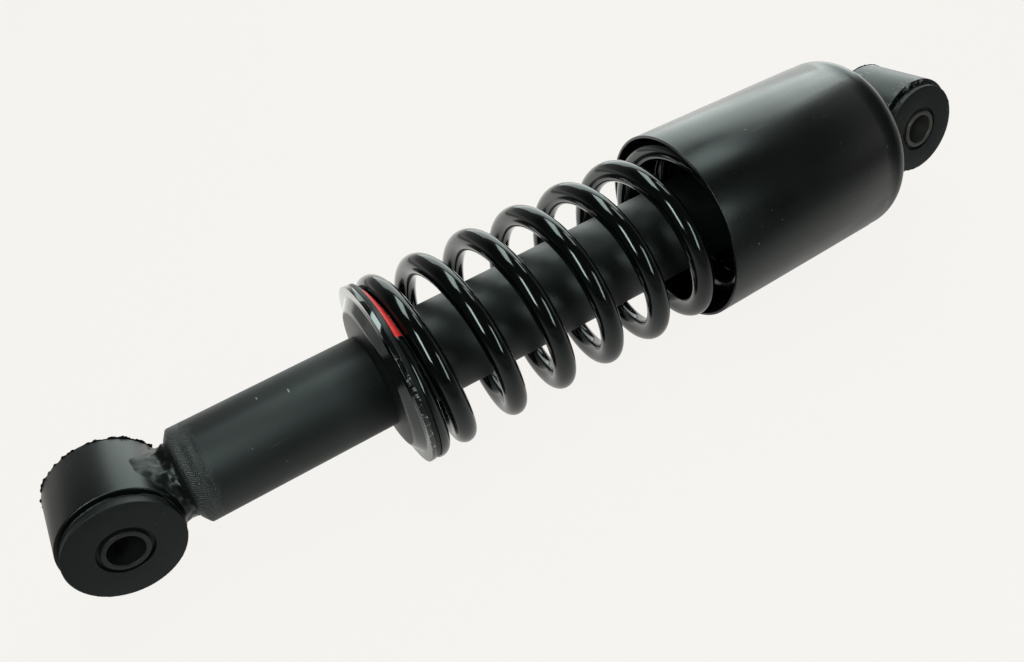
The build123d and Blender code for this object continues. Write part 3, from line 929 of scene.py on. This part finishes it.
class SHOCK_OT_shroud(Step, Operator):
    """Makes the drawn shroud"""
    bl_idname = "shock.shroud"
    bl_label = "Shroud"

    def make(self, context, shock):
        sizes = shock.shroud
        start, end = low_x("shroud"), high_x("shroud")
        crease = end - sizes.shoulder - sizes.draw_place

        def outside(x):
            return x, sizes.mouth - sizes.taper * (x - start)

        outer = [outside(start), outside(crease),
                 (crease + 0.5 * MM, outside(crease)[1] - sizes.draw_step), outside(end), (end, sizes.bore)]
        inner = beside([outside(start), outside(end), (end, sizes.bore)], sizes.wall)
        shoulder = sizes.shoulder
        rounds = {0: sizes.rim_edge, 3: shoulder, 6: shoulder - sizes.wall, 7: sizes.rim_edge}
        outline = rounded(outer + inner[::-1], rounds, 16)
        fit(turned("shroud_can", outline, 256), "shroud", "shroud_enamel", UPPER_BODY)


# Finish, material, colour, roughness, metallic, stretch of the grain, its size in mm, mottle and depth in mm
METALS = (
    ("upper_sleeve", "worn_phosphated_steel_sleeve", "#50504B", 0.42, 0.75, (1, 0.2, 1), 1.2, 0.35),
    # Ground to a mirror with fine rings round the rod
    ("chrome", "hard_chrome", "#C9CACC", 0.08, 1.0, (8, 1, 1), 1.0, 0.03, 0.002),
    # Grey and porous, with turned faces
    ("sintered", "sintered_iron", "#6B6964", 0.5, 1.0, (1, 1, 1), 0.5, 0.2, 0.03),
    ("drawn", "drawn_steel_tube", "#9C9D9B", 0.28),
    ("plated", "phosphated_steel", "#3C3D3C", 0.5, 0.8, (1, 1, 1), 0.7, 0.2),
    ("slide", "bronze_filled_fluoroplastic", "#4A3B2C", 0.45, 0.0, (1, 1, 1), 0.6, 0.15),
)
DRESSED = {
    "weld_enamel": "lower_eye_weld upper_eye_weld upper_eye_boss base_cap upper_seat_weld",
    "tube_enamel": "lower_seat_weld",
    "shroud_enamel": "upper_spring_seat bump_stop_cup shroud reservoir_tube",
    "lower_ring_enamel": "lower_eye_ring",
    "upper_ring_enamel": "upper_eye_ring",
    "gloss_enamel": "lower_spring_seat",
    "powder_coat": "coil_spring",
    "rubber": "upper_isolator lower_isolator lower_bush_rubber upper_bush_rubber rod_seal rebound_stop",
    "lower_sleeve": "lower_bush_sleeve",
    "upper_sleeve": "upper_bush_sleeve",
    "foam": "bump_stop",
    "chrome": "piston_rod",
    "sintered": "rod_guide piston foot_valve_body",
    "drawn": "pressure_tube rebound_valve_discs compression_valve_discs foot_valve_discs",
    "plated": "seal_retainer rebound_collar piston_nut foot_valve_rivet",
    "slide": "rod_guide_bush piston_band",
}


class SHOCK_OT_finishes(Step, Operator):
    """Makes every finish and gives the plain CAD pieces theirs"""
    bl_idname = "shock.finishes"
    bl_label = "Finishes"

    def make(self, context, shock):
        tones = shock.colours
        enamel, rubber, sleeve = list(tones.enamel), list(tones.rubber), list(tones.sleeve)
        tube_start, seat_start = low_x("reservoir_tube") + 1.2 * MM, low_x("lower_spring_seat")
        finishes.update(
            lower_ring_enamel=chassis_enamel("satin_chassis_enamel", enamel, 0.36)[0],
            upper_ring_enamel=worn_enamel(enamel),
            weld_enamel=weld_enamel(enamel),
            shroud_enamel=shroud_enamel(enamel),
            gloss_enamel=seat_enamel(enamel, shock.seat),
            tube_enamel=tube_enamel(list(tones.tube_enamel), shock.tube, tube_start, seat_start),
            powder_coat=gloss_powder_coat(
                list(tones.powder), tones.mark, shock.spring, high_x("lower_isolator")),
            rubber=moulded_rubber("moulded_natural_rubber", rubber),
            pad_rubber=moulded_rubber("sheet_rubber_washer", rubber, 0.42),
            lower_sleeve=worked_metal("phosphated_steel_sleeve", sleeve, 0.42, 0.35, (1, 0.2, 1), 1.2, 0.2),
            foam=cell_foam(hex_colour("#B8A672")))
        for finish, name, code, *working in METALS:
            finishes[finish] = worked_metal(name, hex_colour(code), *working)
        for finish, nodes in DRESSED.items():
            dress(nodes, finish)


# The stage

# The camera's axes
CAMERA_RIGHT = Vector((0.84827, -0.50097, -0.17170))
CAMERA_UP = Vector((0.44260, 0.49265, 0.74927))
CAMERA_BACK = Vector((-0.29077, -0.71157, 0.63962))
# The pale room is slightly cool
COOL = (0.9, 1.0, 0.98)
# Each soft box: name, turn to the right of the camera, height above it, width and height in degrees as
# seen from the middle of the damper, brightness, and distance from there
SOFT_BOXES = (
    ("left_box", -16, -3, 10, 38, 13.5, 0.9),
    ("right_box", 46, -1, 9, 34, 7.5, 0.45),
    ("upper_left_box", -24, 62, 16, 46, 7.2, 0.9),
    ("upper_right_box", 56, 60, 12, 16, 4.2, 0.42),
    ("back_box", 174, 64, 60, 42, 2.4, 1.25),
)


class SHOCK_OT_stage(Step, Operator):
    """Sets up the camera, the floor, the soft boxes and the pale surroundings"""
    bl_idname = "shock.stage"
    bl_label = "Stage"

    def make(self, context, shock):
        self.camera(context.scene, shock.stage)
        middle = Vector((frame_length() / 2, 0, 0))
        for name, *angles, brightness, distance in SOFT_BOXES:
            self.soft_box(name, middle, distance, brightness, *map(radians, angles))
        self.floor(shock)
        self.surroundings(context.scene, list(shock.colours.stage))
        context.scene.view_settings.view_transform = "Standard"

    def camera(self, scene, sizes):
        camera = placed("camera", bpy.data.cameras.new("camera"))
        camera.data.sensor_width = 36
        camera.data.lens = sizes.lens
        camera.data.shift_y = sizes.shift
        camera.data.clip_start = 0.01
        axes = Matrix((CAMERA_RIGHT, CAMERA_UP, CAMERA_BACK)).transposed()
        camera.matrix_world = Matrix.Translation(sizes.camera_place) @ axes.to_4x4()
        scene.camera = camera

    def soft_box(self, name, middle, distance, brightness, across, above, wide, high):
        way = (CAMERA_RIGHT * sin(across) * cos(above) + CAMERA_UP * sin(above)
               + CAMERA_BACK * cos(across) * cos(above)).normalized()
        lamp = bpy.data.lights.new(name, "AREA")
        lamp.shape = "RECTANGLE"
        lamp.size = 2 * distance * tan(wide / 2)
        lamp.size_y = 2 * distance * tan(high / 2)
        lamp.energy = brightness * pi * lamp.size * lamp.size_y
        lamp.color = COOL
        side = CAMERA_UP.cross(way).normalized()
        axes = Matrix((side, way.cross(side), way)).transposed()
        box = placed(name, lamp)
        box.matrix_world = Matrix.Translation(middle + way * distance) @ axes.to_4x4()
        box.visible_camera = False

    def floor(self, shock):
        """A floor under the seat's rim and the shroud's rim."""
        seat = (low_x("lower_spring_seat") + shock.seat.depth, -shock.seat.radius)
        rim = (low_x("shroud"), -shock.shroud.mouth)
        slope = (rim[1] - seat[1]) / (rim[0] - seat[0])
        half = shock.stage.floor_half
        corners = []
        for x, y in ((-half, -half), (half, -half), (half, half), (-half, half)):
            corners.append((x, y, seat[1] + slope * (x - seat[0]) - 0.2 * MM))
        mesh = bpy.data.meshes.new("floor")
        mesh.from_pydata(corners, [], [(0, 1, 2, 3)])
        floor = placed("floor", mesh)
        mesh.materials.append(self.paper(list(shock.colours.stage)))

    def paper(self, tone):
        """Seamless paper: it looks evenly pale, and a light shadow of the object shows on it."""
        material, shader, place = new_material("seamless_paper", Base_Color=tone, Roughness=0.9)
        tree = material.node_tree
        rays = add(tree, "ShaderNodeLightPath").outputs
        seen = rays["Is Camera Ray"]
        # Painted light and shade: mirrored in the paint, the paper glows brightest behind the damper, dim in
        # front of it and dimmer beyond the lower eye
        x, y = xyz(place)[:2]
        front = between(y, -0.2, -0.07, 0.1, 0.62)
        painted_mirror_light = plus(front, between(y, -0.03, 0.12))
        painted_mirror_light = times(painted_mirror_light, between(x, -0.12, 0.0, 0.3, 1.0))
        glow = choose(seen, painted_mirror_light, 0.995)
        even = add(tree, "ShaderNodeEmission", {"Color": tone, "Strength": glow}).outputs[0]
        share = math("MAXIMUM", times(seen, 0.97), times(rays["Is Glossy Ray"], 0.92))
        surface = add(tree, "ShaderNodeMixShader", {0: share, 1: shader.outputs[0], 2: even}).outputs[0]
        feed(tree.nodes["Material Output"], {"Surface": surface})
        return material

    def surroundings(self, scene, tone):
        """Pale paper behind and a dim room on the camera's side."""
        world = bpy.data.worlds.new("studio")
        world.use_nodes = True
        scene.world = world
        tree = world.node_tree
        way = add(tree, "ShaderNodeTexCoord").outputs["Generated"]
        behind = between(dot(way, CAMERA_BACK), -0.35, 0.2, 1.0, 0.0)
        paper = between(xyz(way)[2], 0.0, 0.25, 1.0, 0.35)
        room = plus(times(behind, paper), 0.05)
        rays = add(tree, "ShaderNodeLightPath").outputs
        strength = choose(rays["Is Camera Ray"], room, 1.0)
        feed(tree.nodes["Background"], {"Color": tone, "Strength": strength})


class SHOCK_PT_panel(Panel):
    """Lists the pieces and their sizes"""
    bl_idname = "SHOCK_PT_panel"
    bl_label = "Cab Shock Absorber"
    bl_space_type = "VIEW_3D"
    bl_region_type = "UI"
    bl_category = "Cab Shock Absorber"

    def draw(self, context):
        for operator in STEPS:
            self.layout.operator(operator.bl_idname)
        for group in Shock.__annotations__:
            box = self.layout.box()
            box.label(text=group.title())
            sizes = getattr(context.scene.shock, group)
            for name in sizes.__annotations__:
                box.prop(sizes, name)


GROUPS = (EyeSizes, TubeSizes, SeatSizes, SpringSizes, ShroudSizes, StageSizes, Colours, Shock)
STEPS = (
    SHOCK_OT_finishes, SHOCK_OT_eye_rings, SHOCK_OT_bushes, SHOCK_OT_eye_welds, SHOCK_OT_tube,
    SHOCK_OT_lower_seat, SHOCK_OT_spring, SHOCK_OT_shroud, SHOCK_OT_stage,
)


def register():
    for group in GROUPS:
        for name, setting in group.__annotations__.items():
            setting.keywords["name"] = name.replace("_", " ").capitalize()
    for group in GROUPS + STEPS + (SHOCK_PT_panel,):
        bpy.utils.register_class(group)
    bpy.types.Scene.shock = PointerProperty(type=Shock)


def unregister():
    del bpy.types.Scene.shock
    for group in reversed(GROUPS + STEPS + (SHOCK_PT_panel,)):
        bpy.utils.unregister_class(group)


def main():
    register()
    for step in STEPS:
        getattr(bpy.ops.shock, step.bl_idname.removeprefix("shock."))()


if __name__ == "__main__":
    main()
